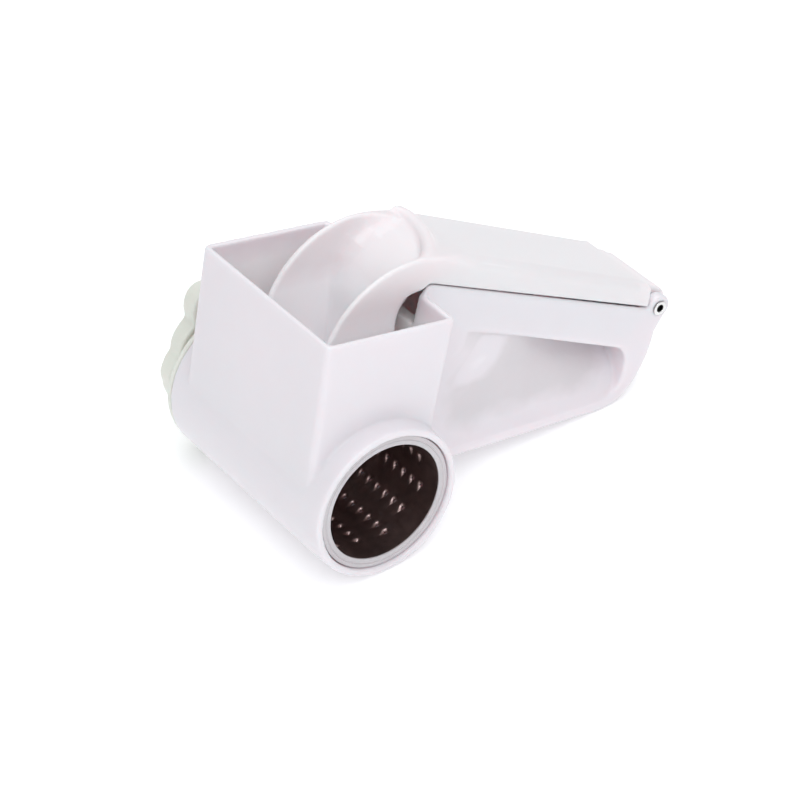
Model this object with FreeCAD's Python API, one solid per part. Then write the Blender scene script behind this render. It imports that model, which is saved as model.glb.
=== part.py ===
import FreeCAD, Part
import math
import os

# Rotary cheese grater: a white moulded body (hopper, horizontal drum barrel and
# handle in one piece), a hinged press lever, a perforated steel drum with its
# plastic rings, and a hand crank on the far end of the barrel.
#
# Working frame used while building (millimetres): origin on the drum axis at
# the barrel's mouth, X towards the hinge end of the handle, Y along the drum
# axis towards the crank, Z up with the hopper's rim level. At the end every
# piece is turned about Y by the lean angle, so that the barrel's underside and
# the handle's lower corner both rest on the plane z = 0, and moved so that
# the origin is under the middle of the object.

# ---------------------------------------------------------------- dimensions
# barrel
R_BARREL = 29.6          # outside radius of the barrel
R_MOUTH = 29.0           # outside radius at the mouth
R_BORE = 26.6            # inside radius of the barrel
L_BARREL = 93.5          # length of the barrel
REAR_WALL = 3.0          # thickness of the barrel's closed end
# hopper
HX0, HX1 = -28.6, 24.7   # front and back faces at the rim
HX1_LOW = 22.0           # back face low down, at the barrel
HY0, HY1 = 8.5, 86.0     # near and far faces at the rim
HY0_LOW, HY1_LOW = 8.1, 86.5
RIM_Z = 63.3             # height of the rim above the drum axis
WALL = 2.2               # moulded wall thickness
HOP_CORNER = 2.6         # outside corner radius
# handle
GY0, GY1 = 25.7, 64.3    # near and far faces of the handle
GYM = 0.5 * (GY0 + GY1)
RAIL_SLOPE = -0.302      # slope of the rail's top edge
RAIL_X, RAIL_Z = 25.1, 67.6
RAIL_LOW_X, RAIL_LOW_Z, RAIL_LOW_SLOPE = 40.1, 47.0, -0.322
SCOOP = 14.6             # deepest hollow in the handle's side, close under the rail
# hinge
PIN_X, PIN_Z = 136.8, 34.9
EAR_R = 4.9
EAR_T_NEAR, EAR_T_FAR = 4.6, 4.2
LEVER_BARREL_R = 6.2
PIN_R = 2.3
PIN_BORE_R = 1.5
PIN_FLARE_R = 2.85
PIN_FLARE_T = 0.5
# lever
LY0, LY1 = 26.0, 64.0
PLATE_T = 2.2
PUSH_CX, PUSH_CZ, PUSH_R = 21.0, 40.6, 37.5   # round outline of the pusher plates
PRESS_R = 26.4           # radius of the pressing face, around the drum axis
# drum
R_DRUM = 24.0            # outside radius of the steel shell
T_DRUM = 0.5
DRUM_Y0, DRUM_Y1 = 2.2, 88.0
COLLAR_R, COLLAR_LIP_R = 26.25, 22.7
COLLAR_Y0, COLLAR_Y1 = 1.3, 8.0
HOLE_R = 1.5
HOLE_COLS, HOLE_PITCH = 14, 10.0
# crank
FLANGE_R, FLANGE_Y0, FLANGE_Y1 = 29.3, 94.0, 96.2
CRANK_Y0, CRANK_Y1 = 99.0, 107.0
CRANK_DIR = 76.8         # degrees in XZ, direction of the arm
KNOB_DIST = 24.5
KNOB_R, KNOB_Y0, KNOB_Y1 = 7.8, 107.5, 122.5
CRANK_NARROW = 0.985     # trim of the plate across the arm

V = FreeCAD.Vector
Y = V(0, 1, 0)


def cyl(r, y0, y1, x=0.0, z=0.0):
    return Part.makeCylinder(r, y1 - y0, V(x, y0, z), Y)


def tube(ro, ri, y0, y1, x=0.0, z=0.0):
    return cyl(ro, y0, y1, x, z).cut(cyl(ri, y0 - 1, y1 + 1, x, z))


def box(x0, x1, y0, y1, z0, z1):
    return Part.makeBox(x1 - x0, y1 - y0, z1 - z0, V(x0, y0, z0))


def poly_face(pts, y):
    w = Part.makePolygon([V(x, y, z) for x, z in pts] + [V(pts[0][0], y, pts[0][1])])
    return Part.Face(w)


def prism(pts, y0, y1):
    return poly_face(pts, y0).extrude(V(0, y1 - y0, 0))


def seg(a, b):
    return Part.makeLine(V(*a), V(*b))


def spline_edge(pts):
    c = Part.BSplineCurve()
    c.interpolate([V(*p) for p in pts])
    return c.toShape()


def mixed_prism(parts, y0, y1):
    """parts: list of ('l'|'s', [(x, z), ...]) joined end to end, closed."""
    edges = []
    for kind, pts in parts:
        p3 = [(x, y0, z) for x, z in pts]
        if kind == "s":
            edges.append(spline_edge(p3))
        else:
            for a, b in zip(p3[:-1], p3[1:]):
                edges.append(seg(a, b))
    w = Part.Wire(Part.__sortEdges__(edges))
    return Part.Face(w).extrude(V(0, y1 - y0, 0))


def one(shape):
    shape = shape.removeSplitter()
    sol = sorted(shape.Solids, key=lambda s: -s.Volume)
    return sol[0]


def rounded_rect_wire(x0, x1, y0, y1, z, r):
    e = []
    e.append(seg((x0 + r, y0, z), (x1 - r, y0, z)))
    e.append(Part.Arc(V(x1 - r, y0, z), V(x1 - r + r * 0.70710678, y0 + r - r * 0.70710678, z), V(x1, y0 + r, z)).toShape())
    e.append(seg((x1, y0 + r, z), (x1, y1 - r, z)))
    e.append(Part.Arc(V(x1, y1 - r, z), V(x1 - r + r * 0.70710678, y1 - r + r * 0.70710678, z), V(x1 - r, y1, z)).toShape())
    e.append(seg((x1 - r, y1, z), (x0 + r, y1, z)))
    e.append(Part.Arc(V(x0 + r, y1, z), V(x0 + r - r * 0.70710678, y1 - r + r * 0.70710678, z), V(x0, y1 - r, z)).toShape())
    e.append(seg((x0, y1 - r, z), (x0, y0 + r, z)))
    e.append(Part.Arc(V(x0, y0 + r, z), V(x0 + r - r * 0.70710678, y0 + r - r * 0.70710678, z), V(x0 + r, y0, z)).toShape())
    return Part.Wire(e)


def rail_top(x):
    return RAIL_Z + RAIL_SLOPE * (x - RAIL_X)


def rail_low(x):
    return RAIL_LOW_Z + RAIL_LOW_SLOPE * (x - RAIL_LOW_X)


# ---------------------------------------------------------------- main body
# rear and lower outline of the handle, from the rail's rear end round the
# corner that rests on the table and along the underside
HANDLE_LOW = [(133.6, 35.2), (136.0, 31.5), (136.8, 27.5), (136.4, 18.5), (134.2, 10.8),
              (130.6, 3.2), (126.2, -1.6), (120.6, -4.2), (113.5, -5.0), (104.0, -5.3)]
HANDLE_UNDER = [(104.0, -5.3), (48.0, -8.2), (8.0, -10.2)]


def handle_outer():
    x0 = 23.4
    shoulder = [(x0, 60.0), (x0, 63.2), (24.0, 65.3), (25.4, 66.8), (27.6, rail_top(27.6))]
    parts = [
        ("l", HANDLE_UNDER),
        ("l", [(8.0, -10.2), (8.0, 24.0), (21.0, 24.0), (x0, 60.0)]),
        ("s", shoulder),
        ("l", [(27.6, rail_top(27.6)), (131.0, rail_top(131.0)), (133.6, 35.2)]),
        ("s", HANDLE_LOW),
    ]
    return mixed_prism(parts, GY0, GY1)


def scoop_cutter(side):
    """hollow in the side of the handle, side = -1 near, +1 far"""
    yf = GY0 if side < 0 else GY1
    s = 1.0 if side < 0 else -1.0
    wires = []
    # along the handle: depth at six heights from the rail down to the lower edge
    for x, depths in ((33.0, (0.25, 0.3, 0.4, 0.5, 0.5)), (50.0, (0.8, 1.0, 1.5, 2.1, 2.1)), (66.0, (2.0, 2.3, 2.9, 3.5, 2.9)),
                      (76.0, (4.6, 4.5, 4.3, 4.2, 3.0)), (84.0, (8.2, 7.7, 5.9, 4.7, 2.8)), (92.0, (11.2, 10.5, 7.4, 4.9, 2.4)),
                      (106.0, (13.8, 13.0, 9.0, 5.1, 2.0)), (118.0, (SCOOP, 13.7, 9.7, 5.3, 1.9)), (134.0, (SCOOP, 13.7, 9.7, 5.3, 1.9))):
        zt = rail_low(x)
        zb = -7.0 + 0.052 * (x - 48.0) + 2.4
        h = zt - zb
        p = [(x, yf + s * d, zt - f * h) for d, f in zip(depths, (0.0, 0.13, 0.33, 0.58, 0.85))] + [(x, yf, zb)]
        e = [spline_edge(p), seg(p[-1], (x, yf - s * 2, zb)), seg((x, yf - s * 2, zb), (x, yf - s * 2, zt)),
             seg((x, yf - s * 2, zt), p[0])]
        wires.append(Part.Wire(Part.__sortEdges__(e)))
    loft = Part.makeLoft(wires, True, False)
    # side-view limit with a rounded rear end
    lim = mixed_prism([
        ("l", [(34.0, -12.0), (34.0, 60.0), (108.0, rail_low(108.0) + 6.0), (117.0, rail_low(117.0) + 0.6)]),
        ("s", [(117.0, rail_low(117.0) + 0.6), (121.6, 20.3), (124.4, 16.6), (125.2, 11.5), (123.8, 5.0), (119.0, 0.6), (112.0, -1.6), (104.0, -2.2)]),
        ("l", [(104.0, -2.2), (34.0, -12.0)]),
    ], min(yf, yf + s * 14) - 3, max(yf, yf + s * 14) + 3)
    return loft.common(lim)


def make_body():
    # barrel, slightly narrower at the mouth
    barrel = Part.makeCone(R_MOUTH, R_BARREL, 8.0, V(0, 0, 0), Y)
    barrel = barrel.fuse(cyl(R_BARREL, 8.0, L_BARREL))
    # hopper with draft on three walls
    w0 = rounded_rect_wire(HX0, HX1_LOW - 1.2, HY0_LOW, HY1_LOW, 0.0, HOP_CORNER)
    w1 = rounded_rect_wire(HX0, HX1, HY0, HY1, RIM_Z, HOP_CORNER)
    hop = Part.makeLoft([w0, w1], True, True)
    ri = 1.0
    c0 = rounded_rect_wire(HX0 + WALL, HX1_LOW - 1.2 - WALL, HY0_LOW + WALL, HY1_LOW - WALL, 0.0, ri)
    c1 = rounded_rect_wire(HX0 + WALL, HX1 - WALL + 0.1, HY0 + WALL + 0.1, HY1 - WALL - 0.1, RIM_Z + 0.0, ri)
    cav = Part.makeLoft([c0, c1], True, True)
    top = Part.Face(c1).extrude(V(0, 0, 12))
    solid = barrel.fuse(hop)
    # handle with its side hollows
    h = handle_outer()
    h = h.cut(scoop_cutter(-1)).cut(scoop_cutter(1))
    # rail channel, open at the top, closed at the rear by the hinge block
    t = 2.4
    ch = prism([(20.0, 80.0), (20.0, 51.6), (28.0, rail_low(28.0) + 0.6), (118.0, rail_low(118.0) + 2.6),
                (126.5, rail_low(126.5) + 5.6), (129.0, 34.0), (129.0, 60.0)], GY0 + t, GY1 - t)
    # hollow below it, narrower where the side hollows are deep
    lo = mixed_prism([
        ("l", [(27.6, 60.0), (27.6, -5.2), (104.0, -2.3)]),
        ("s", [(104.0, -2.3), (113.0, -1.9), (119.8, -1.0), (124.0, 1.2), (127.8, 5.6), (131.0, 12.2), (133.0, 19.2)]),
        ("l", [(133.0, 19.2), (128.0, 24.0), (27.6, 60.0)]),
    ], GY0 + SCOOP + t, GY1 - SCOOP - t)
    for xe, d in ((66.0, 3.6), (76.0, 4.8), (86.0, 9.1)):
        lo = lo.fuse(prism([(27.6, 60.0), (27.6, -5.2), (xe, -5.2 + 0.038 * (xe - 27.6)), (xe, 36.0)], GY0 + d + t, GY1 - d - t))
    solid = solid.fuse(h)
    # hinge ears
    for y0, y1, er in ((GY0, GY0 + EAR_T_NEAR, EAR_R), (GY1 - EAR_T_FAR, GY1, EAR_R + 0.5)):
        ear = cyl(er, y0, y1, PIN_X, PIN_Z)
        foot = prism([(PIN_X - EAR_R, PIN_Z), (PIN_X + EAR_R * 0.98, PIN_Z - 0.6), (136.6, 24.0), (124.0, 26.0), (124.0, 33.0)], y0, y1)
        solid = solid.fuse(ear.fuse(foot))
    # room for the lever's hinge barrel between the ears
    room = cyl(LEVER_BARREL_R + 0.7, GY0 + EAR_T_NEAR, GY1 - EAR_T_FAR, PIN_X, PIN_Z)
    room = room.fuse(prism([(PIN_X - 3.0, PIN_Z), (PIN_X + 12.0, PIN_Z), (PIN_X + 12.0, PIN_Z + 12.0), (PIN_X - 16.0, PIN_Z + 12.0), (PIN_X - 16.0, PIN_Z)],
                           GY0 + EAR_T_NEAR, GY1 - EAR_T_FAR))
    solid = solid.cut(room)
    solid = solid.cut(ch).cut(lo)
    # hopper cavity, bore, rear bearing hole, pin holes
    solid = solid.cut(cav.common(box(-60, 60, 0, 100, 0.0, 100)))
    # above the rim inside the hopper everything is clear
    solid = solid.cut(Part.Face(c1).extrude(V(0, 0, 12)))
    solid = solid.cut(cyl(R_BORE, -1.0, L_BARREL - REAR_WALL))
    solid = solid.cut(cyl(6.5, 80.0, 100.0))
    solid = solid.cut(cyl(PIN_R + 0.02, GY0 - 5, GY1 + 5, PIN_X, PIN_Z))
    return one(solid)


# ---------------------------------------------------------------- press lever
def pt(cx, cz, r, deg):
    a = math.radians(deg)
    return (cx + r * math.cos(a), cz + r * math.sin(a))


LEVER_TOP = [(46.5, 73.1), (129.5, 45.8)]
G = 0.35                # gap between lever and rails
# curled lip at the head of the lever: its crest seen from above, from the far
# plate round to the near plate
LIP_CREST = [(31.0, 66.0), (35.6, 63.0), (37.3, 58.5), (37.1, 53.0), (35.9, 47.5), (33.9, 42.0),
             (31.0, 36.5), (27.2, 31.5), (22.6, 27.6), (17.0, 24.6)]
LIP_R, LIP_Z = 2.9, 75.4
# scoop: its middle profile from the pressing face up to the lip, and the size
# of the blend between it and the side plates along the way
SCOOP_MID = [(12.9, 25.9), (12.3, 36.0), (11.7, 46.0), (11.5, 52.0), (12.4, 57.6), (14.7, 63.0), (18.4, 67.8),
             (23.4, 71.8), (29.0, 74.6), (34.0, 76.0), (40.0, 77.2)]
SCOOP_BLEND = [0.3, 0.5, 1.2, 2.2, 3.6, 5.4, 7.4, 8.6, 8.4, 7.0, 5.0]


def lever_side():
    """outline of the lever seen from the side, without the arch of the side plates"""
    arc = [pt(PUSH_CX, PUSH_CZ, PUSH_R, a) for a in (207.6, 195, 180, 160, 140, 120, 105, 92)]
    arc[0] = (-12.2, 23.4)
    lip = [arc[-1], (25.0, 77.8), (31.0, 77.0), (37.0, 75.7), (42.0, 74.5), LEVER_TOP[0]]
    rear = LEVER_TOP[1]
    under = [(132.0, rail_top(132.0) + G + 0.3), (27.2, rail_top(27.2) + G)]
    foot = [(27.2, rail_top(27.2) + G), (16.6, 54.0), (14.4, 26.0), (14.4, 22.4)]
    press = [pt(0, 0, PRESS_R, a) for a in (57.2, 75, 90, 105, 117.5)]
    press[0] = (14.4, 22.4)
    press[-1] = (-12.2, 23.4)
    return [("s", arc), ("s", lip), ("l", LEVER_TOP), ("l", [rear, (136.0, 40.5), (132.0, rail_top(132.0) + G + 0.3)]),
            ("l", under), ("l", foot), ("s", press)]


def plate_arch(y0, y1):
    """opening between a side plate's rear edge and the hopper's back wall"""
    arch = [(27.2, rail_top(27.2) + G), (24.6, 67.1), (22.6, 65.8), (18.6, 65.2), (15.4, 63.2), (13.6, 59.5), (13.1, 54.0)]
    return mixed_prism([("s", arch), ("l", [(13.1, 54.0), (14.4, 26.0), (24.0, 26.0), (32.0, 60.0), (27.2, rail_top(27.2) + G)])], y0, y1)


def scoop_blend(side):
    """filler that rounds the corner between the scoop and one side plate"""
    yw = LY0 + PLATE_T if side < 0 else LY1 - PLATE_T
    s = 1.0 if side < 0 else -1.0
    wires = []
    n = len(SCOOP_MID)
    for i, (x, z) in enumerate(SCOOP_MID):
        a, b = SCOOP_MID[max(i - 1, 0)], SCOOP_MID[min(i + 1, n - 1)]
        tx, tz = b[0] - a[0], b[1] - a[1]
        ln = math.hypot(tx, tz)
        nx, nz = -tz / ln, tx / ln
        r = SCOOP_BLEND[i]
        pts = [(-0.6, -0.6)]
        for k in range(7):
            t = math.radians(15.0 * k)
            pts.append((r - r * math.cos(t), r - r * math.sin(t)))
        pts[1] = (-0.6, r)
        pts.insert(2, (0.0, r))
        pts[-1] = (r, 0.0)
        pts.append((r, -0.6))
        v = [V(x + nx * d, yw + s * h, z + nz * d) for h, d in pts]
        wires.append(Part.makePolygon(v + [v[0]]))
    return Part.makeLoft(wires, True, True)


def lip_front():
    """everything in front of the lip's crest, seen from above"""
    crest = [(x, y, 20.0) for x, y in LIP_CREST]
    e = [spline_edge(crest), seg(crest[-1], (-30.0, 24.6, 20.0)), seg((-30.0, 24.6, 20.0), (-30.0, 66.0, 20.0)),
         seg((-30.0, 66.0, 20.0), crest[0])]
    return Part.Face(Part.Wire(Part.__sortEdges__(e))).extrude(V(0, 0, 75.0))


def lip_roll():
    path = Part.Wire([spline_edge([(x, y, LIP_Z) for x, y in LIP_CREST])])
    x0, y0 = LIP_CREST[0]
    x1, y1 = LIP_CREST[1]
    circ = Part.Wire([Part.makeCircle(LIP_R, V(x0, y0, LIP_Z), V(x1 - x0, y1 - y0, 0))])
    roll = path.makePipeShell([circ], True, False)
    return roll.common(box(0, 60, LY0, LY1, 60, 90))


def make_lever():
    outer = mixed_prism(lever_side(), LY0, LY1)
    y0, y1 = LY0 + PLATE_T, LY1 - PLATE_T
    for ya, yb in ((LY0 - 1.0, y0), (y1, LY1 + 1.0)):
        outer = outer.cut(plate_arch(ya, yb))
    # under the top plate, behind the web
    under = mixed_prism([
        ("s", [(17.0, 20.0), (15.6, 30.0), (14.4, 40.0), (13.8, 48.0), (14.0, 53.0), (15.6, 58.4), (19.4, 64.2), (24.6, 68.7), (30.0, 71.2), (36.0, 72.1), (41.0, 71.8), (45.6, 70.8)]),
        ("l", [(45.6, 70.8), (127.0, 44.0), (127.0, 20.0), (17.0, 20.0)]),
    ], y0, y1)
    # open scoop in front of the web, above the pressing face
    front = mixed_prism([
        ("s", SCOOP_MID),
        ("l", [SCOOP_MID[-1], (40.0, 92.0), (-30.0, 92.0), (-30.0, 20.0), pt(0, 0, PRESS_R + 2.2, 124)]),
        ("s", [pt(0, 0, PRESS_R + 2.2, a) for a in (124, 105, 90, 75)] + [SCOOP_MID[0]]),
    ], y0, y1).common(lip_front())
    blends = scoop_blend(-1).fuse(scoop_blend(1)).common(mixed_prism(lever_side(), LY0 + 1.0, LY1 - 1.0))
    lever = outer.cut(under).cut(front).fuse(blends)
    lever = lever.fuse(lip_roll())
    # hinge barrel between the ears
    hb0, hb1 = GY0 + EAR_T_NEAR + 0.35, GY1 - EAR_T_FAR - 0.35
    hb = cyl(LEVER_BARREL_R, hb0, hb1, PIN_X, PIN_Z)
    neck = prism([(128.0, 45.6), (PIN_X + 1.5, PIN_Z + 5.9), (PIN_X - 2.0, PIN_Z - 1.0), (130.8, 36.3), (126.5, 41.0)], hb0, hb1)
    lever = lever.fuse(hb).fuse(neck)
    # clear the ears
    for ya, yb, er in ((LY0 - 1, hb0, EAR_R), (hb1, LY1 + 1, EAR_R + 0.5)):
        lever = lever.cut(cyl(er + 0.5, ya, yb, PIN_X, PIN_Z))
        lever = lever.cut(prism([(131.4, 30.0), (131.4, 52.0), (150.0, 52.0), (150.0, 30.0)], ya, yb))
    lever = lever.cut(cyl(PIN_R + 0.06, GY0 - 5, GY1 + 5, PIN_X, PIN_Z))
    return one(lever)


# ---------------------------------------------------------------- hinge pin
def make_pin():
    p = cyl(PIN_R, GY0, GY1, PIN_X, PIN_Z)
    for y0, y1 in ((GY0 - PIN_FLARE_T, GY0), (GY1, GY1 + PIN_FLARE_T)):
        p = p.fuse(cyl(PIN_FLARE_R, y0, y1, PIN_X, PIN_Z))
    p = p.cut(cyl(PIN_BORE_R, GY0 - 3, GY1 + 3, PIN_X, PIN_Z))
    return one(p)


# ---------------------------------------------------------------- drum
def make_shell():
    s = tube(R_DRUM, R_DRUM - T_DRUM, DRUM_Y0, DRUM_Y1)
    holes = []
    for i in range(HOLE_COLS):
        ar = math.radians(11.4 + 360.0 / HOLE_COLS * i)
        d = V(math.cos(ar), 0, math.sin(ar))
        y = 14.0 if i % 2 else 11.5
        y += 2.5 * (i % 2)
        while y < 84.0:
            holes.append(Part.makeCylinder(HOLE_R, 4.0, V(0, y, 0) + d * (R_DRUM - 2.5), d))
            y += HOLE_PITCH
    s = s.cut(Part.makeCompound(holes))
    return one(s)


def make_collar():
    c = tube(COLLAR_R, R_DRUM, COLLAR_Y0, COLLAR_Y1)
    lip = tube(COLLAR_R, COLLAR_LIP_R, COLLAR_Y0, DRUM_Y0)
    return one(c.fuse(lip))


def make_disc():
    d = cyl(R_DRUM, DRUM_Y1, DRUM_Y1 + 1.6).fuse(cyl(R_DRUM - T_DRUM, 84.0, DRUM_Y1)).fuse(cyl(8.0, 76.0, 84.0))
    hole = box(-2.8, 2.8, 70.0, 95.0, -2.8, 2.8)
    ring = tube(R_DRUM - 3.5, 9.5, 80.0, 86.4)
    d = d.cut(ring)
    for k in range(4):
        rib = box(8.5, R_DRUM - 3.0, 84.0, 86.4, -1.0, 1.0)
        rib.rotate(V(0, 0, 0), Y, 45 + 90 * k)
        d = d.fuse(rib)
    return one(d.cut(hole))


def make_nut():
    n = cyl(5.6, 71.4, 75.9)
    flutes = []
    for k in range(8):
        a = math.radians(45 * k)
        flutes.append(cyl(1.3, 70.0, 74.6, 6.2 * math.cos(a), 6.2 * math.sin(a)))
    n = n.cut(Part.makeCompound(flutes))
    return one(n.cut(cyl(2.2, 70.0, 80.0)))


def make_shaft():
    s = cyl(2.2, 70.4, 76.0)
    s = s.fuse(box(-2.8, 2.8, 76.0, 89.9, -2.8, 2.8).common(cyl(3.6, 76.0, 89.9)))
    s = s.fuse(cyl(4.0, 89.9, 98.0))
    s = s.fuse(box(-2.8, 2.8, 98.0, 104.8, -2.8, 2.8).common(cyl(3.6, 98.0, 104.8)))
    return one(s.cut(cyl(1.5, 98.5, 110.0)))


def make_bush():
    b = tube(6.5, 4.05, 90.0, 93.8).fuse(tube(9.0, 4.05, 89.9, L_BARREL - REAR_WALL))
    return one(b)


# ---------------------------------------------------------------- crank
def arm_frame(u, w):
    """u along the arm, w to its left, in XZ"""
    a = math.radians(CRANK_DIR)
    return (u * math.cos(a) - w * math.sin(a), u * math.sin(a) + w * math.cos(a))


def crank_outline():
    """scalloped outline: lobes meet in shallow valleys"""
    left = [
        # (u, w) from the bottom of the hub up the left side to the end
        [(-24.6, 0.0), (-24.2, 5.5), (-21.4, 10.0)],
        [(-21.4, 10.0), (-19.8, 15.8), (-14.2, 19.6)],
        [(-14.2, 19.6), (-10.6, 23.2), (-8.0, 24.4)],
        [(-8.0, 24.4), (-5.4, 26.4), (-1.6, 26.7), (2.0, 26.3), (4.1, 25.1)],
        [(4.1, 25.1), (7.4, 26.1), (10.6, 26.0), (14.4, 24.9), (17.5, 22.9)],
        [(17.5, 22.9), (20.5, 25.2), (25.0, 26.4), (28.6, 25.8), (31.6, 23.4), (32.6, 19.6)],
        [(32.6, 19.6), (33.6, 12.0), (32.8, 6.6)],
        [(32.8, 6.6), (34.2, 3.0), (34.4, 0.0)],
    ]
    return left


def make_crank():
    edges = []
    y = CRANK_Y0
    for seg_pts in crank_outline():
        for sgn in (1, -1):
            p3 = []
            for u, w in seg_pts:
                x, z = arm_frame(u - 0.2, sgn * w * CRANK_NARROW)
                p3.append((x, y, z))
            edges.append(spline_edge(p3))
    w = Part.Wire(Part.__sortEdges__(edges))
    plate = Part.Face(w).extrude(V(0, CRANK_Y1 - CRANK_Y0, 0))
    # hollow back, leaving a 2.4 mm skin, a hub and a boss under the knob
    kx, kz = arm_frame(KNOB_DIST, 0.0)
    recess_pts = [arm_frame(u, ww) for u, ww in ((-17, -12), (-17, 12), (-9, 19), (26, 20.5), (28.5, 14), (28.5, -14), (26, -20.5), (-9, -19))]
    rec = prism(recess_pts, CRANK_Y0 - 1, CRANK_Y1 - 2.6)
    rec = rec.cut(cyl(11.0, CRANK_Y0 - 2, CRANK_Y1)).cut(cyl(6.0, CRANK_Y0 - 2, CRANK_Y1, kx, kz))
    plate = plate.cut(rec)
    c = plate.fuse(cyl(11.0, FLANGE_Y1 - 0.5, CRANK_Y1)).fuse(cyl(FLANGE_R, FLANGE_Y0, FLANGE_Y1))
    c = c.cut(cyl(4.1, FLANGE_Y0 - 1, 98.0))
    c = c.cut(box(-2.8, 2.8, 97.0, 105.0, -2.8, 2.8))
    c = c.cut(cyl(4.3, 104.9, 110.0))
    c = c.cut(cyl(2.0, 101.4, 112.0, kx, kz))
    return one(c)


def make_screw():
    s = cyl(1.5, 99.0, 104.9).fuse(cyl(3.7, 104.9, 106.8))
    s = s.cut(box(-3.0, 3.0, 105.9, 108.0, -0.45, 0.45)).cut(box(-0.45, 0.45, 105.9, 108.0, -3.0, 3.0))
    return one(s)


def knob_xy():
    return arm_frame(KNOB_DIST, 0.0)


def make_knob_pin():
    kx, kz = knob_xy()
    p = cyl(2.0, 101.5, 119.0, kx, kz).fuse(cyl(3.6, 118.9, 120.4, kx, kz))
    return one(p)


def make_knob():
    kx, kz = knob_xy()
    prof = [(0.0, KNOB_Y0), (5.6, KNOB_Y0), (6.2, 108.5), (6.5, 112.5), (7.4, 116.5), (KNOB_R, 119.5), (7.5, 121.5), (6.4, KNOB_Y1), (0.0, KNOB_Y1)]
    e = [seg((kx, KNOB_Y0, kz), (kx + 5.6, KNOB_Y0, kz)),
         spline_edge([(kx + r, yy, kz) for r, yy in prof[1:8]]),
         seg((kx + 6.4, KNOB_Y1, kz), (kx, KNOB_Y1, kz)),
         seg((kx, KNOB_Y1, kz), (kx, KNOB_Y0, kz))]
    f = Part.Face(Part.Wire(Part.__sortEdges__(e)))
    k = f.revolve(V(kx, 0, kz), Y, 360)
    k = k.cut(cyl(2.06, 100.0, 119.5, kx, kz))
    k = k.cut(cyl(4.6, 118.8, 130.0, kx, kz))
    return one(k)


def make_knob_cap():
    kx, kz = knob_xy()
    c = cyl(4.6, 121.1, 122.5, kx, kz).cut(cyl(3.8, 120.5, 121.7, kx, kz)).fuse(cyl(3.8, 121.6, 122.5, kx, kz))
    return one(c)


# ---------------------------------------------------------------- placing
def lean_angle():
    """angle at which the handle's lower corner is level with the barrel"""
    def low(a):
        pts = HANDLE_LOW + HANDLE_UNDER
        return min(-x * math.sin(a) + z * math.cos(a) for x, z in pts)
    lo, hi = math.radians(5), math.radians(20)
    for _ in range(60):
        mid = 0.5 * (lo + hi)
        if low(mid) > -R_BARREL:
            lo = mid
        else:
            hi = mid
    return 0.5 * (lo + hi)


PIECES = [
    ("main_body", make_body), ("press_lever", make_lever), ("hinge_pin", make_pin),
    ("drum_shell", make_shell), ("drum_collar", make_collar), ("drum_rear_disc", make_disc),
    ("drum_nut", make_nut), ("drive_shaft", make_shaft), ("rear_bush", make_bush),
    ("crank_arm", make_crank), ("crank_screw", make_screw), ("crank_knob", make_knob),
    ("knob_pin", make_knob_pin), ("knob_cap", make_knob_cap),
]


def main():
    os.makedirs("parts", exist_ok=True)
    lean = math.degrees(lean_angle())
    made = []
    for name, fn in PIECES:
        s = fn()
        s.rotate(V(0, 0, 0), Y, lean)
        made.append((name, s))
    bb = FreeCAD.BoundBox()
    for name, s in made:
        bb.add(s.optimalBoundingBox(False))
    shift = V(-0.5 * (bb.XMin + bb.XMax), -0.5 * (bb.YMin + bb.YMax), -bb.ZMin)
    for name, s in made:
        s.translate(shift)
        s.exportStep("parts/%s.step" % name)
        print("%-16s valid %s solids %d volume %.0f" % (name, s.isValid(), len(s.Solids), s.Volume))
    print("lean %.4f deg  shift %.4f %.4f %.4f" % (lean, shift.x, shift.y, shift.z))
    print("size %.2f %.2f %.2f" % (bb.XLength, bb.YLength, bb.ZLength))


main()
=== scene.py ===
import math

import bmesh
import bpy
import numpy as np
from mathutils import Matrix, Vector
from mathutils.bvhtree import BVHTree


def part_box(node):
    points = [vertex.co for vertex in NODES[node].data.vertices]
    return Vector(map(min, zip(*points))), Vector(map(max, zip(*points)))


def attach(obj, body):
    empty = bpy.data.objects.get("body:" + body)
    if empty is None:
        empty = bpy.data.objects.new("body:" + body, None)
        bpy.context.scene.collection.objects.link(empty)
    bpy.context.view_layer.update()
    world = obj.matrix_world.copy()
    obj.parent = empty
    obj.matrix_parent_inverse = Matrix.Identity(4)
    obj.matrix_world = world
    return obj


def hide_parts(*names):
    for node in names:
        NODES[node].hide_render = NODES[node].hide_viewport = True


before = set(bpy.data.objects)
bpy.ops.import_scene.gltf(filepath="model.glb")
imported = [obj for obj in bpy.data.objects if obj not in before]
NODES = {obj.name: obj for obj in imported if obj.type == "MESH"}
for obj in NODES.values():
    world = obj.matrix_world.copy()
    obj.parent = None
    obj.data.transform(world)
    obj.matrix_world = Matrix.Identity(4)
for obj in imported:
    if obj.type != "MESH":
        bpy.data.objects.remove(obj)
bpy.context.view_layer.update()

# ------------------------------------------------------------ working frame
# Millimetres, origin on the drum axis at the barrel's mouth, X to the hinge,
# Y to the crank, Z up with the hopper's rim level. The object leans by LEAN.
LEAN = math.radians(12.2044)
CL, SL = math.cos(LEAN), math.sin(LEAN)
_lo, _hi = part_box("drum_shell")
AX, AZ = 0.5 * (_lo[0] + _hi[0]), 0.5 * (_lo[2] + _hi[2])
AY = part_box("main_body")[0][1]


def W(x, y, z):
    """working frame, mm, to the row frame, m"""
    return Vector((AX + (x * CL + z * SL) / 1000, AY + y / 1000, AZ + (-x * SL + z * CL) / 1000))


def to_work(v):
    """row frame array, m, to the working frame, mm"""
    a = (v[:, 0] - AX) * 1000
    c = (v[:, 2] - AZ) * 1000
    return np.stack([a * CL - c * SL, (v[:, 1] - AY) * 1000, a * SL + c * CL], axis=1)


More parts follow.
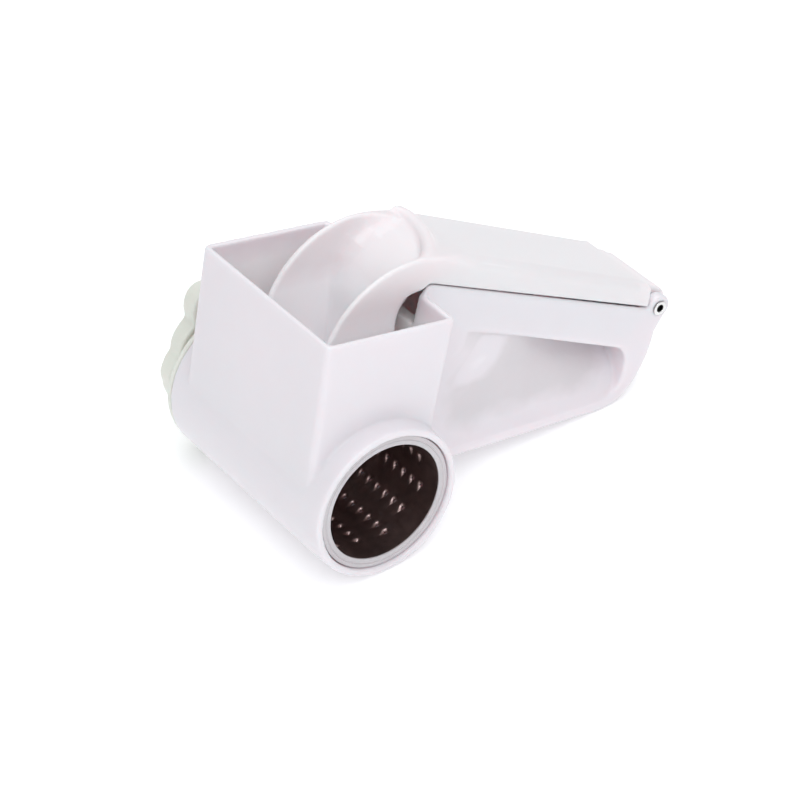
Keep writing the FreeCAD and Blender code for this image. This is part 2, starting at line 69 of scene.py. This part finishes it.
def from_work(p):
    out = np.empty_like(p)
    out[:, 0] = AX + (p[:, 0] * CL + p[:, 2] * SL) / 1000
    out[:, 1] = AY + p[:, 1] / 1000
    out[:, 2] = AZ + (-p[:, 0] * SL + p[:, 2] * CL) / 1000
    return out


def turn(v):
    x, y, z = v
    return Vector((x * CL + z * SL, y, -x * SL + z * CL))


# ------------------------------------------------------------ mesh helpers
def new_object(name, me, body, slot_name, *replaced):
    ob = bpy.data.objects.new(name, me)
    bpy.context.scene.collection.objects.link(ob)
    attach(ob, body)
    if replaced:
        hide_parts(*replaced)
    return ob


def node_mesh(node):
    src = NODES[node]
    me = src.data.copy()
    me.transform(src.matrix_world)
    me.materials.clear()
    bm = bmesh.new()
    bm.from_mesh(me)
    bmesh.ops.remove_doubles(bm, verts=bm.verts, dist=1e-6)
    bmesh.ops.recalc_face_normals(bm, faces=bm.faces)
    bm.to_mesh(me)
    bm.free()
    return me


def applied(ob):
    """the object's mesh with its modifiers applied, as a plain mesh"""
    dg = bpy.context.evaluated_depsgraph_get()
    return bpy.data.meshes.new_from_object(ob.evaluated_get(dg))


def get_co(me):
    co = np.empty(len(me.vertices) * 3, dtype=np.float32)
    me.vertices.foreach_get("co", co)
    return co.reshape(-1, 3).astype(float)


def set_co(me, co):
    me.vertices.foreach_set("co", co.astype(np.float32).ravel())
    me.update()


def smooth_shade(me):
    me.polygons.foreach_set("use_smooth", [True] * len(me.polygons))
    me.update()


def relax(me, iterations, factor=0.5, weights=None):
    """plain vertex smoothing, done on arrays"""
    n = len(me.vertices)
    e = np.empty(len(me.edges) * 2, dtype=np.int32)
    me.edges.foreach_get("vertices", e)
    e = e.reshape(-1, 2)
    deg = np.bincount(e.ravel(), minlength=n).astype(float)
    deg[deg == 0] = 1
    co = get_co(me)
    w = factor if weights is None else (factor * weights)[:, None]
    for _ in range(iterations):
        acc = np.empty_like(co)
        for k in range(3):
            acc[:, k] = np.bincount(e[:, 0], weights=co[e[:, 1], k], minlength=n) + np.bincount(e[:, 1], weights=co[e[:, 0], k], minlength=n)
        co = co + w * (acc / deg[:, None] - co)
    set_co(me, co)


def moulded(node, name, body, slot_name, voxel, rounds, snap=0.05, keep=0.4, shape=None, weigh=None):
    """A rounded, moulded copy of a CAD node: remeshed finely, its edges and
    corners relaxed, its flat and curved faces put back exactly on the CAD
    surface, and then thinned where it is flat."""
    me = node_mesh(node)
    tmp = bpy.data.objects.new(name + "_tmp", me)
    bpy.context.scene.collection.objects.link(tmp)
    bvh = BVHTree.FromPolygons([v.co.copy() for v in me.vertices], [tuple(p.vertices) for p in me.polygons])
    m = tmp.modifiers.new("r", "REMESH")
    m.mode = "VOXEL"
    m.voxel_size = voxel / 1000
    m.adaptivity = 0.0
    out = applied(tmp)
    bpy.data.objects.remove(tmp)
    if weigh:
        extra, more = weigh(to_work(get_co(out)))
        relax(out, more, 0.5, extra)
    relax(out, rounds)
    co = get_co(out)
    lim = snap / 1000
    near = np.zeros(len(co))
    for i in range(len(co)):
        loc, nor, idx, dist = bvh.find_nearest(co[i])
        if loc is not None and dist < lim:
            co[i] = loc
            near[i] = 1
    set_co(out, co)
    relax(out, 2, 0.5, 1.0 - near)
    if shape:
        p = to_work(get_co(out))
        set_co(out, from_work(shape(p)))
    if keep < 1.0:
        t2 = bpy.data.objects.new(name + "_tmp", out)
        bpy.context.scene.collection.objects.link(t2)
        d = t2.modifiers.new("d", "DECIMATE")
        d.decimate_type = "COLLAPSE"
        d.ratio = keep
        res = applied(t2)
        bpy.data.objects.remove(t2)
        out = res
    smooth_shade(out)
    return new_object(name, out, body, slot_name, node)


def mesh_from(name, verts, faces):
    me = bpy.data.meshes.new(name)
    me.from_pydata([tuple(v) for v in verts], [], faces)
    me.validate()
    me.update()
    return me


def fix_normals(me):
    bm = bmesh.new()
    bm.from_mesh(me)
    bmesh.ops.recalc_face_normals(bm, faces=bm.faces)
    bm.to_mesh(me)
    bm.free()
    me.update()


def lathe(profile, cx, cz, n, name):
    """closed profile of (radius, y) turned about an axis along Y"""
    verts, faces = [], []
    k = len(profile)
    for i in range(n):
        a = 2 * math.pi * i / n
        for r, y in profile:
            verts.append(W(cx + r * math.cos(a), y, cz + r * math.sin(a)))
    for i in range(n):
        j = (i + 1) % n
        for q in range(k):
            q2 = (q + 1) % k
            faces.append((i * k + q, i * k + q2, j * k + q2, j * k + q))
    me = mesh_from(name, verts, faces)
    fix_normals(me)
    smooth_shade(me)
    return me


def rounded(profile, r, n=4):
    """closed polygon of (radius, y) with its corners rounded by r"""
    out = []
    k = len(profile)
    for i in range(k):
        p0, p1, p2 = (Vector(profile[(i - 1) % k]), Vector(profile[i]), Vector(profile[(i + 1) % k]))
        d0, d2 = (p0 - p1), (p2 - p1)
        rr = min(r, 0.45 * d0.length, 0.45 * d2.length)
        a, b = p1 + d0.normalized() * rr, p1 + d2.normalized() * rr
        for j in range(n + 1):
            t = j / n
            q = a * (1 - t) ** 2 + p1 * 2 * t * (1 - t) + b * t ** 2
            out.append((q.x, q.y))
    return out


# ------------------------------------------------------------ materials
def base_material(name):
    m = bpy.data.materials.new(name)
    m.use_nodes = True
    nt = m.node_tree
    for n in list(nt.nodes):
        nt.nodes.remove(n)
    out = nt.nodes.new("ShaderNodeOutputMaterial")
    bsdf = nt.nodes.new("ShaderNodeBsdfPrincipled")
    nt.links.new(bsdf.outputs["BSDF"], out.inputs["Surface"])
    co = nt.nodes.new("ShaderNodeTexCoord")
    return m, nt, bsdf, co


def noise(nt, co, scale, detail=2.0, rough=0.5, stretch=None):
    n = nt.nodes.new("ShaderNodeTexNoise")
    n.inputs["Scale"].default_value = scale
    n.inputs["Detail"].default_value = detail
    n.inputs["Roughness"].default_value = rough
    src = co.outputs["Object"]
    if stretch:
        mp = nt.nodes.new("ShaderNodeMapping")
        mp.inputs["Scale"].default_value = stretch
        nt.links.new(src, mp.inputs["Vector"])
        src = mp.outputs["Vector"]
    nt.links.new(src, n.inputs["Vector"])
    return n


def ramp(nt, src, stops):
    r = nt.nodes.new("ShaderNodeValToRGB")
    el = r.color_ramp.elements
    el[0].position, el[0].color = stops[0][0], (*stops[0][1], 1)
    el[1].position, el[1].color = stops[-1][0], (*stops[-1][1], 1)
    for p, c in stops[1:-1]:
        e = el.new(p)
        e.color = (*c, 1)
    nt.links.new(src, r.inputs["Fac"])
    return r


def span(nt, src, lo, hi, a=0.3, b=0.7):
    r = nt.nodes.new("ShaderNodeMapRange")
    r.inputs["From Min"].default_value = a
    r.inputs["From Max"].default_value = b
    r.inputs["To Min"].default_value = lo
    r.inputs["To Max"].default_value = hi
    nt.links.new(src, r.inputs["Value"])
    return r


def bump(nt, height, strength, distance, normal=None):
    b = nt.nodes.new("ShaderNodeBump")
    b.inputs["Strength"].default_value = strength
    b.inputs["Distance"].default_value = distance
    nt.links.new(height, b.inputs["Height"])
    if normal is not None:
        nt.links.new(normal, b.inputs["Normal"])
    return b


def math_node(nt, op, a, b):
    n = nt.nodes.new("ShaderNodeMath")
    n.operation = op
    for i, v in enumerate((a, b)):
        if isinstance(v, (int, float)):
            n.inputs[i].default_value = v
        else:
            nt.links.new(v, n.inputs[i])
    return n.outputs["Value"]


def along(nt, co, axis, offset):
    """distance of a surface point along an axis of the working frame, m"""
    n = nt.nodes.new("ShaderNodeVectorMath")
    n.operation = "DOT_PRODUCT"
    n.inputs[1].default_value = axis
    nt.links.new(co.outputs["Object"], n.inputs[0])
    return math_node(nt, "SUBTRACT", n.outputs["Value"], offset)


def product(nt, factors):
    out = None
    for src, lo, hi, a_, b_ in factors:
        m_ = span(nt, src, lo, hi, a_, b_).outputs["Result"]
        out = m_ if out is None else math_node(nt, "MULTIPLY", out, m_)
    return out


def painted_light_masks(nt, co):
    """three masks for painted light and shade on the mouldings, each 0 to 1: painted light on the walls inside the
    hopper, painted light in the closed channel under the lever, and painted shade in the hollows in the handle's sides"""
    x = along(nt, co, (CL, 0.0, -SL), AX * CL - AZ * SL)
    z = along(nt, co, (SL, 0.0, CL), AX * SL + AZ * CL)
    y = along(nt, co, (0.0, 1.0, 0.0), AY)
    off = math_node(nt, "ABSOLUTE", math_node(nt, "SUBTRACT", y, 0.045), 0.0)
    xr = math_node(nt, "SUBTRACT", x, math_node(nt, "MULTIPLY", z, 0.0616))
    # painted light: lightens the colour of the walls inside the hopper, where they lie in shade
    hopper = product(nt, ((x, 0.0, 1.0, -0.0279, -0.0270), (xr, 1.0, 0.0, 0.0190, 0.0204), (y, 0.0, 1.0, 0.0090, 0.0098),
                          (y, 1.0, 0.0, 0.0844, 0.0853), (z, 1.0, 0.0, 0.0520, 0.0636), (z, 0.0, 1.0, 0.004, 0.006)))
    # painted light: lightens and warms the colour in the closed channel under the lever, where it lies in shade
    over = math_node(nt, "MULTIPLY", math_node(nt, "MAXIMUM", math_node(nt, "SUBTRACT", z, 0.054), 0.0), 0.55)
    xs = math_node(nt, "SUBTRACT", x, over)
    roof = math_node(nt, "ADD", z, math_node(nt, "MULTIPLY", x, 0.329))
    channel = product(nt, ((off, 1.0, 0.0, 0.0174, 0.0182), (xs, 0.0, 1.0, 0.0130, 0.0137), (roof, 1.0, 0.0, 0.0864, 0.0872),
                           (z, 1.0, 0.0, 0.0700, 0.0715), (z, 0.0, 1.0, 0.020, 0.030), (x, 1.0, 0.0, 0.045, 0.070)))
    # painted shade: darkens the colour in the hollows in the handle's sides, under the rail's overhang
    rail = math_node(nt, "ADD", z, math_node(nt, "MULTIPLY", x, 0.322))
    foot = math_node(nt, "SUBTRACT", z, math_node(nt, "MULTIPLY", x, 0.052))
    hollow = product(nt, ((off, 1.0, 0.0, 0.0189, 0.0194), (rail, 1.0, 0.0, 0.0592, 0.0603), (foot, 0.0, 1.0, -0.0076, 0.0060),
                          (x, 0.0, 1.0, 0.028, 0.060), (x, 1.0, 0.0, 0.110, 0.1272)))
    return hopper, channel, hollow


def plastic(name, dark, light, rough=(0.2, 0.3), peel=0.05, sub=0.0, coat=0.0, scratch=0.0, ior=1.52, painted_light_colours=None):
    """moulded plastic: cloudy colour, faint orange peel, sink marks, hairline handling marks in the gloss; with the
    zone colours given, also painted light inside the hopper and channel and painted shade in the handle's hollows"""
    m, nt, bsdf, co = base_material(name)
    cloud = noise(nt, co, 38.0, 3.0, 0.55)
    if painted_light_colours:
        # painted light inside the hopper and the channel and painted shade in the handle's hollows, mixed into the base
        # colour
        hopper, channel, hollow = painted_light_masks(nt, co)
        fac = math_node(nt, "ADD", math_node(nt, "MULTIPLY", cloud.outputs["Fac"], 0.35), 0.25)
        fac = math_node(nt, "ADD", fac, math_node(nt, "MULTIPLY", hopper, 0.40))
        fac = math_node(nt, "ADD", fac, math_node(nt, "MULTIPLY", channel, 0.62))
        fac = math_node(nt, "SUBTRACT", fac, math_node(nt, "MULTIPLY", hollow, 0.25))
        col = ramp(nt, fac, [(0.105, painted_light_colours[0]), (0.245, painted_light_colours[1]), (0.355, dark), (0.495, light), (0.755, painted_light_colours[2]), (0.895, painted_light_colours[3]), (1.0, painted_light_colours[4])])
    else:
        col = ramp(nt, cloud.outputs["Fac"], [(0.30, dark), (0.70, light)])
    nt.links.new(col.outputs["Color"], bsdf.inputs["Base Color"])
    fine = noise(nt, co, 1500.0, 2.0, 0.5)
    sink = noise(nt, co, 55.0, 1.0, 0.4)
    marks = noise(nt, co, 260.0, 4.0, 0.7, (1.0, 9.0, 3.0))
    mix = nt.nodes.new("ShaderNodeMath")
    mix.operation = "ADD"
    nt.links.new(span(nt, cloud.outputs["Fac"], rough[0], rough[1]).outputs["Result"], mix.inputs[0])
    nt.links.new(span(nt, marks.outputs["Fac"], 0.0, scratch, 0.62, 0.80).outputs["Result"], mix.inputs[1])
    nt.links.new(mix.outputs["Value"], bsdf.inputs["Roughness"])
    b1 = bump(nt, sink.outputs["Fac"], 0.12, 0.0005)
    b2 = bump(nt, fine.outputs["Fac"], peel, 0.00025, b1.outputs["Normal"])
    nt.links.new(b2.outputs["Normal"], bsdf.inputs["Normal"])
    bsdf.inputs["IOR"].default_value = ior
    bsdf.inputs["Coat Weight"].default_value = coat
    bsdf.inputs["Coat Roughness"].default_value = 0.12
    if sub:
        bsdf.inputs["Subsurface Weight"].default_value = sub
        bsdf.inputs["Subsurface Radius"].default_value = (1.0, 0.66, 0.66)
        bsdf.inputs["Subsurface Scale"].default_value = 0.0055
    return m


def metal(name, dark, light, rough=(0.2, 0.35), stretch=(1.0, 30.0, 1.0), fine=500.0, strength=0.12):
    """drawn or rolled steel: grain along the rolling direction, smudges"""
    m, nt, bsdf, co = base_material(name)
    cloud = noise(nt, co, 120.0, 4.0, 0.6)
    grain = noise(nt, co, fine, 3.0, 0.65, stretch)
    col = ramp(nt, cloud.outputs["Fac"], [(0.30, dark), (0.68, light)])
    nt.links.new(col.outputs["Color"], bsdf.inputs["Base Color"])
    bsdf.inputs["Metallic"].default_value = 1.0
    nt.links.new(span(nt, grain.outputs["Fac"], rough[0], rough[1]).outputs["Result"], bsdf.inputs["Roughness"])
    b = bump(nt, grain.outputs["Fac"], strength, 0.0001)
    nt.links.new(b.outputs["Normal"], bsdf.inputs["Normal"])
    return m


# painted shade in the hollow in the handle's side (dark, light), painted light inside the hopper (dark, light), painted
# light in the closed channel
PAINTED_LIGHT_COLOURS = ((0.655, 0.612, 0.635), (0.685, 0.642, 0.665), (0.955, 0.905, 0.928), (0.968, 0.918, 0.941), (0.962, 0.900, 0.898))
# body and lever colours, with painted light inside the hopper and channel and painted shade in the handle's hollows
WHITE = plastic("white_moulded", (0.786, 0.736, 0.770), (0.801, 0.751, 0.785), (0.295, 0.36), 0.05, sub=0.55, scratch=0.05, painted_light_colours=PAINTED_LIGHT_COLOURS)
LEVER = plastic("lever_moulded", (0.835, 0.773, 0.790), (0.850, 0.788, 0.805), (0.295, 0.36), 0.05, sub=0.55, scratch=0.05, painted_light_colours=PAINTED_LIGHT_COLOURS)
CREAM = plastic("crank_moulded", (0.72, 0.73, 0.66), (0.77, 0.775, 0.71), (0.32, 0.42), 0.08, sub=0.30, scratch=0.05)
COLLAR = plastic("collar_natural", (0.575, 0.525, 0.545), (0.66, 0.61, 0.63), (0.30, 0.40), 0.10, sub=0.30, scratch=0.08)
BUSH = plastic("bush_acetal", (0.74, 0.72, 0.66), (0.80, 0.78, 0.73), (0.38, 0.50), 0.08, sub=0.1)
STEEL = metal("punched_steel", (0.36, 0.27, 0.26), (0.50, 0.38, 0.365), (0.30, 0.44), (1.0, 0.06, 1.0), 900.0, 0.15)
PIN = metal("plated_steel", (0.66, 0.65, 0.64), (0.80, 0.79, 0.78), (0.14, 0.26), (1.0, 0.2, 1.0), 1400.0, 0.08)
SHAFT = metal("machined_steel", (0.50, 0.50, 0.50), (0.62, 0.62, 0.62), (0.29, 0.38), (1.0, 12.0, 1.0), 1200.0, 0.15)


def paint(ob, mat):
    ob.data.materials.clear()
    ob.data.materials.append(mat)
    return ob


def paint_node(node, mat):
    ob = NODES[node]
    if not ob.material_slots:
        ob.data.materials.append(mat)
    for s in ob.material_slots:
        s.material = mat


# ------------------------------------------------------------ camera and light
AZ_D, EL_D, ROLL_D, F_PX, OX, OY, S_MM = (-40.34811612433583, 30.138334916379723, 9.005378491434675,
                                        3028.4259770944054, 387.8015035155919, 504.44677060436936, 2.914128574953373)
a, e, r = map(math.radians, (AZ_D, EL_D, ROLL_D))
back = Vector((math.sin(a) * math.cos(e), -math.cos(a) * math.cos(e), math.sin(e)))
right = Vector((math.cos(a), math.sin(a), 0))
up = back.cross(right)
if up.z < 0:
    up = -up
r2 = math.cos(r) * right + math.sin(r) * up
u2 = -math.sin(r) * right + math.cos(r) * up
dist = F_PX / S_MM
c_mm = dist * back - (OX - 400) / S_MM * r2 + (OY - 400) / S_MM * u2
cam_data = bpy.data.cameras.new("photo_camera")
cam_data.sensor_width = 36.0
cam_data.sensor_fit = "HORIZONTAL"
cam_data.lens = 36.0 * F_PX / 800.0
cam_data.clip_start, cam_data.clip_end = 0.05, 20.0
cam_data.dof.use_dof = False
cam = bpy.data.objects.new("photo_camera", cam_data)
bpy.context.scene.collection.objects.link(cam)
cols = [turn(v) for v in (r2, u2, back)]
cam_at = W(*c_mm)
cam.matrix_world = Matrix([[cols[0][i], cols[1][i], cols[2][i], cam_at[i]] for i in range(3)] + [[0, 0, 0, 1]])
bpy.context.scene.camera = cam


COOL = (0.965, 0.985, 1.0)


def area(name, direction, distance, size, energy, color=(1, 1, 1)):
    ld = bpy.data.lights.new(name, "AREA")
    ld.shape = "SQUARE"
    ld.size = size
    ld.energy = energy
    ld.color = color
    lo = bpy.data.objects.new(name, ld)
    bpy.context.scene.collection.objects.link(lo)
    d = Vector(direction).normalized()
    lo.location = Vector((0, 0, 0.05)) + d * distance
    lo.rotation_euler = (-d).to_track_quat("-Z", "Y").to_euler()
    return lo


area("key_softbox", (-0.35, -0.60, 0.85), 1.8, 1.2, 13.5, COOL)
area("top_softbox", (0.2, 0.15, 1.0), 1.6, 1.6, 11.5, COOL)

bpy.context.scene.view_settings.view_transform = "Standard"
bpy.context.scene.view_settings.look = "None"
bpy.context.scene.view_settings.exposure = 0.0
bpy.context.scene.view_settings.gamma = 1.0

world = bpy.data.worlds.new("soft_studio")
bpy.context.scene.world = world
world.use_nodes = True
bg = world.node_tree.nodes["Background"]
bg.inputs["Color"].default_value = (*COOL, 1.0)
bg.inputs["Strength"].default_value = 0.50

fm, fnt, fb, fco = base_material("pale_floor")
fcol = ramp(fnt, noise(fnt, fco, 3.0, 2.0, 0.5).outputs["Fac"], [(0.3, (0.93, 0.93, 0.93)), (0.7, (0.95, 0.95, 0.95))])
fnt.links.new(fcol.outputs["Color"], fb.inputs["Base Color"])
fb.inputs["Roughness"].default_value = 0.7
fb.inputs["Emission Color"].default_value = (*COOL, 1.0)
fb.inputs["Emission Strength"].default_value = 0.22
fme = mesh_from("floor", [(-6, -6, 0), (6, -6, 0), (6, 6, 0), (-6, 6, 0)], [(0, 1, 2, 3)])
floor = bpy.data.objects.new("floor", fme)
bpy.context.scene.collection.objects.link(floor)
floor.data.materials.append(fm)
floor.location = (0, 0, -0.0002)

# ------------------------------------------------------------ main moulding
def body_weigh(p):
    """softer corners on the hopper's rim and the handle than the remesh gives"""
    x, y, z = p[:, 0], p[:, 1], p[:, 2]
    w = np.zeros(len(p))
    rail = (x > 23) & (y > 25) & (y < 65) & (z > 40 - 0.3 * (x - 40))
    w[rail] = 0.5
    low = (x > 30) & (z < 8) | (x > 118)
    w[low] = 0.5
    ear = (x > 129) & (z > 28)
    w[ear] = 0.25
    return w, 10


body_ob = moulded("main_body", "body_moulding", "body", "white_plastic", 0.55, 3, snap=0.045, keep=0.45, weigh=body_weigh)
paint(body_ob, WHITE)

# ------------------------------------------------------------ press lever
TOP_LINE = ([24.0, 31.0, 37.0, 42.0, 46.5, 129.5, 136.0], [77.9, 77.0, 75.7, 74.5, 73.1, 45.8, 40.5])
LEV_Y0, LEV_Y1 = 26.0, 64.0


def lever_shape(p):
    """large soft radius along both long top edges, growing out of the lip"""
    q = p.copy()
    x = q[:, 0]
    top = np.interp(x, *TOP_LINE)
    d = (top - q[:, 2]) * 0.95
    grow = np.clip((x - 26.0) / 22.0, 0, 1)
    grow = grow * grow * (3 - 2 * grow)
    tail = np.clip((136.0 - x) / 10.0, 0.3, 1)
    for side, big in ((0, 4.6), (1, 2.6)):
        R = (0.7 + (big - 0.7) * grow) * tail
        a = (LEV_Y0 + R - q[:, 1]) if side == 0 else (q[:, 1] - (LEV_Y1 - R))
        b = R - d
        h = np.hypot(a, b)
        m = (a > 0) & (b > 0) & (h > R) & (x > 24) & (d < 12)
        k = np.where(m, R / np.maximum(h, 1e-9), 1.0)
        a2, b2 = a * k, b * k
        if side == 0:
            q[m, 1] = (LEV_Y0 + R - a2)[m]
        else:
            q[m, 1] = (LEV_Y1 - R + a2)[m]
        q[m, 2] = (top - (R - b2) / 0.95)[m]
    return q


def lever_weigh(p):
    """melt the lip, the scoop and the plates' rims into each other"""
    x, y, z = p[:, 0], p[:, 1], p[:, 2]
    w = np.zeros(len(p))
    head = (z > 60) & (x > -16) & (x < 46) & (y > 28.6) & (y < 61.4)
    w[head] = 0.5
    lip = (z > 72) & (x > 16) & (x < 50)
    w[lip] = 0.4
    return w, 14


lever_ob = moulded("press_lever", "lever_moulding", "lever", "lever_plastic", 0.5, 3, snap=0.04, keep=0.5, shape=lever_shape, weigh=lever_weigh)
paint(lever_ob, LEVER)

# ------------------------------------------------------------ crank
def crank_weigh(p):
    y = p[:, 1]
    w = np.clip((y - 99.5) / 1.5, 0.0, 1.0)
    return w, 30


crank_ob = moulded("crank_arm", "crank_moulding", "drum", "crank_plastic", 0.5, 3, snap=0.03, keep=0.5, weigh=crank_weigh)
paint(crank_ob, CREAM)
knob_ob = moulded("crank_knob", "knob_moulding", "knob", "crank_plastic", 0.3, 5, snap=0.03, keep=0.6)
paint(knob_ob, CREAM)
cap_ob = moulded("knob_cap", "knob_cap_moulding", "knob", "crank_plastic", 0.16, 3, snap=0.02, keep=0.6)
paint(cap_ob, CREAM)
screw_ob = moulded("crank_screw", "crank_screw_head", "drum", "pin_steel", 0.11, 3, snap=0.02, keep=0.5)
paint(screw_ob, PIN)
nut_ob = moulded("drum_nut", "drum_nut_moulding", "drum", "crank_plastic", 0.18, 4, snap=0.02, keep=0.6)
paint(nut_ob, CREAM)
disc_ob = moulded("drum_rear_disc", "drum_end_moulding", "drum", "collar_plastic", 0.36, 3, snap=0.03, keep=0.5)
paint(disc_ob, COLLAR)
pin_ob = moulded("hinge_pin", "hinge_rivet", "body", "pin_steel", 0.17, 4, snap=0.015, keep=0.6)
paint(pin_ob, PIN)

# ------------------------------------------------------------ drum collar
collar_prof = rounded([(26.2, 1.35), (26.2, 7.95), (24.05, 7.95), (24.05, 2.15), (22.75, 2.15), (22.75, 1.35),
                       (24.3, 1.35), (24.45, 1.62), (24.75, 1.62), (24.9, 1.35)], 0.28)
collar_ob = new_object("drum_collar_ring", lathe(collar_prof, 0, 0, 192, "drum_collar_ring"), "drum", "collar_plastic", "drum_collar")
paint(collar_ob, COLLAR)

# ------------------------------------------------------------ toothed drum
R0 = 23.85
ROWS, NS, NV = 14, 10, 6
CELL_S = 2 * math.pi / ROWS
PITCH = 5.0


def tear(t):
    return 0.35 - 2.35 * math.cos(t), 1.72 * math.sin(t) * abs(math.sin(t / 2)) ** 1.1


def polar_radius(cx, pts):
    ang = np.array([math.atan2(v, s - cx) for s, v in pts])
    rad = np.array([math.hypot(s - cx, v) for s, v in pts])
    o = np.argsort(ang)
    ang, rad = ang[o], rad[o]
    ang = np.concatenate([ang - 2 * math.pi, ang, ang + 2 * math.pi])
    rad = np.concatenate([rad, rad, rad])
    return lambda q: float(np.interp(q, ang, rad))


OUT = polar_radius(0.9, [tear(2 * math.pi * (i + 0.5) / 96) for i in range(96)])
HALF = CELL_S * R0 / 2


def cell_rim():
    pts = []
    for i in range(NS):
        pts.append((-HALF + 2 * HALF * i / NS, -PITCH / 2))
    for i in range(NV):
        pts.append((HALF, -PITCH / 2 + PITCH * i / NV))
    for i in range(NS):
        pts.append((HALF - 2 * HALF * i / NS, PITCH / 2))
    for i in range(NV):
        pts.append((-HALF, PITCH / 2 - PITCH * i / NV))
    return pts


def drum_mesh():
    verts, faces = [], []

    def add(th, s, y, h):
        a_ = th + s / R0
        verts.append(W((R0 + h) * math.cos(a_), y, (R0 + h) * math.sin(a_)))
        return len(verts) - 1

    rim = cell_rim()
    n = len(rim)
    for row in range(ROWS):
        th = math.radians(11.4) - CELL_S * row
        first = 14.0 if row % 2 == 0 else 11.5
        count = 14 if row % 2 == 0 else 15
        for k in range(count):
            y = first + PITCH * k
            loops = [[add(th, s, y + v, 0.0) for s, v in rim]]
            # (scale of outline, share of the way to the hole's rim, height)
            for sc, mixh, h in ((1.22, 0.0, 0.0), (1.02, 0.0, 0.10), (0.86, 0.12, 0.34), (0.80, 0.45, 0.66), (0.75, 0.80, 0.90), (0.7, 1.0, 1.0)):
                lp = []
                for s, v in rim:
                    q = math.atan2(v, s - 0.9)
                    ro = OUT(q) * sc
                    rh = 0.86 if mixh else 0.0
                    hole_r = 1.0 / math.sqrt((math.cos(q) / 0.80) ** 2 + (math.sin(q) / 0.92) ** 2)
                    ra = ro * (1 - mixh) + hole_r * mixh
                    head = 0.5 + 0.5 * math.cos(q)
                    lp.append(add(th, 0.9 + ra * math.cos(q), y + ra * math.sin(q), h * (0.80 + 0.20 * head)))
                loops.append(lp)
            for a_, b_ in zip(loops[:-1], loops[1:]):
                for i in range(n):
                    j = (i + 1) % n
                    faces.append((a_[i], a_[j], b_[j], b_[i]))
        # plain ends of the sheet
        y_lo, y_hi = first - PITCH / 2, first + PITCH * (count - 1) + PITCH / 2
        step = PITCH / NV
        low = [2.25]
        q = 9.0 - step * math.floor((9.0 - 2.3) / step)
        while q < y_lo - 1e-6:
            low.append(q)
            q += step
        low.append(y_lo)
        high = [y_hi]
        q = y_hi + step
        while q < 87.9:
            high.append(q)
            q += step
        high.append(87.95)
        for ys in (low, high):
            grid = [[add(th, -HALF + 2 * HALF * i / NS, yy, 0.0) for i in range(NS + 1)] for yy in ys]
            for g0, g1 in zip(grid[:-1], grid[1:]):
                for i in range(NS):
                    faces.append((g0[i], g0[i + 1], g1[i + 1], g1[i]))
    me = mesh_from("drum_sheet", verts, faces)
    bm = bmesh.new()
    bm.from_mesh(me)
    bmesh.ops.remove_doubles(bm, verts=bm.verts, dist=2e-6)
    bmesh.ops.recalc_face_normals(bm, faces=bm.faces)
    # outward normals, so that the sheet thickens inwards
    f = bm.faces[0] if not hasattr(bm.faces, "ensure_lookup_table") else (bm.faces.ensure_lookup_table() or bm.faces[0])
    c = f.calc_center_median()
    ctr = W(0, 0, 0)
    out_dir = Vector((c.x - ctr.x, 0, c.z - ctr.z))
    if f.normal.dot(out_dir) < 0:
        bmesh.ops.reverse_faces(bm, faces=bm.faces)
    bm.to_mesh(me)
    bm.free()
    return me


sheet = drum_mesh()
t3 = bpy.data.objects.new("sheet_tmp", sheet)
bpy.context.scene.collection.objects.link(t3)
so = t3.modifiers.new("s", "SOLIDIFY")
so.thickness = 0.00034
so.offset = -1.0
so.use_even_offset = False
sheet2 = applied(t3)
bpy.data.objects.remove(t3)
smooth_shade(sheet2)
drum_ob = new_object("toothed_drum", sheet2, "drum", "drum_steel", "drum_shell")
paint(drum_ob, STEEL)

# ------------------------------------------------------------ pieces that keep their CAD shape
paint_node("drive_shaft", SHAFT)
paint_node("rear_bush", BUSH)
paint_node("knob_pin", SHAFT)
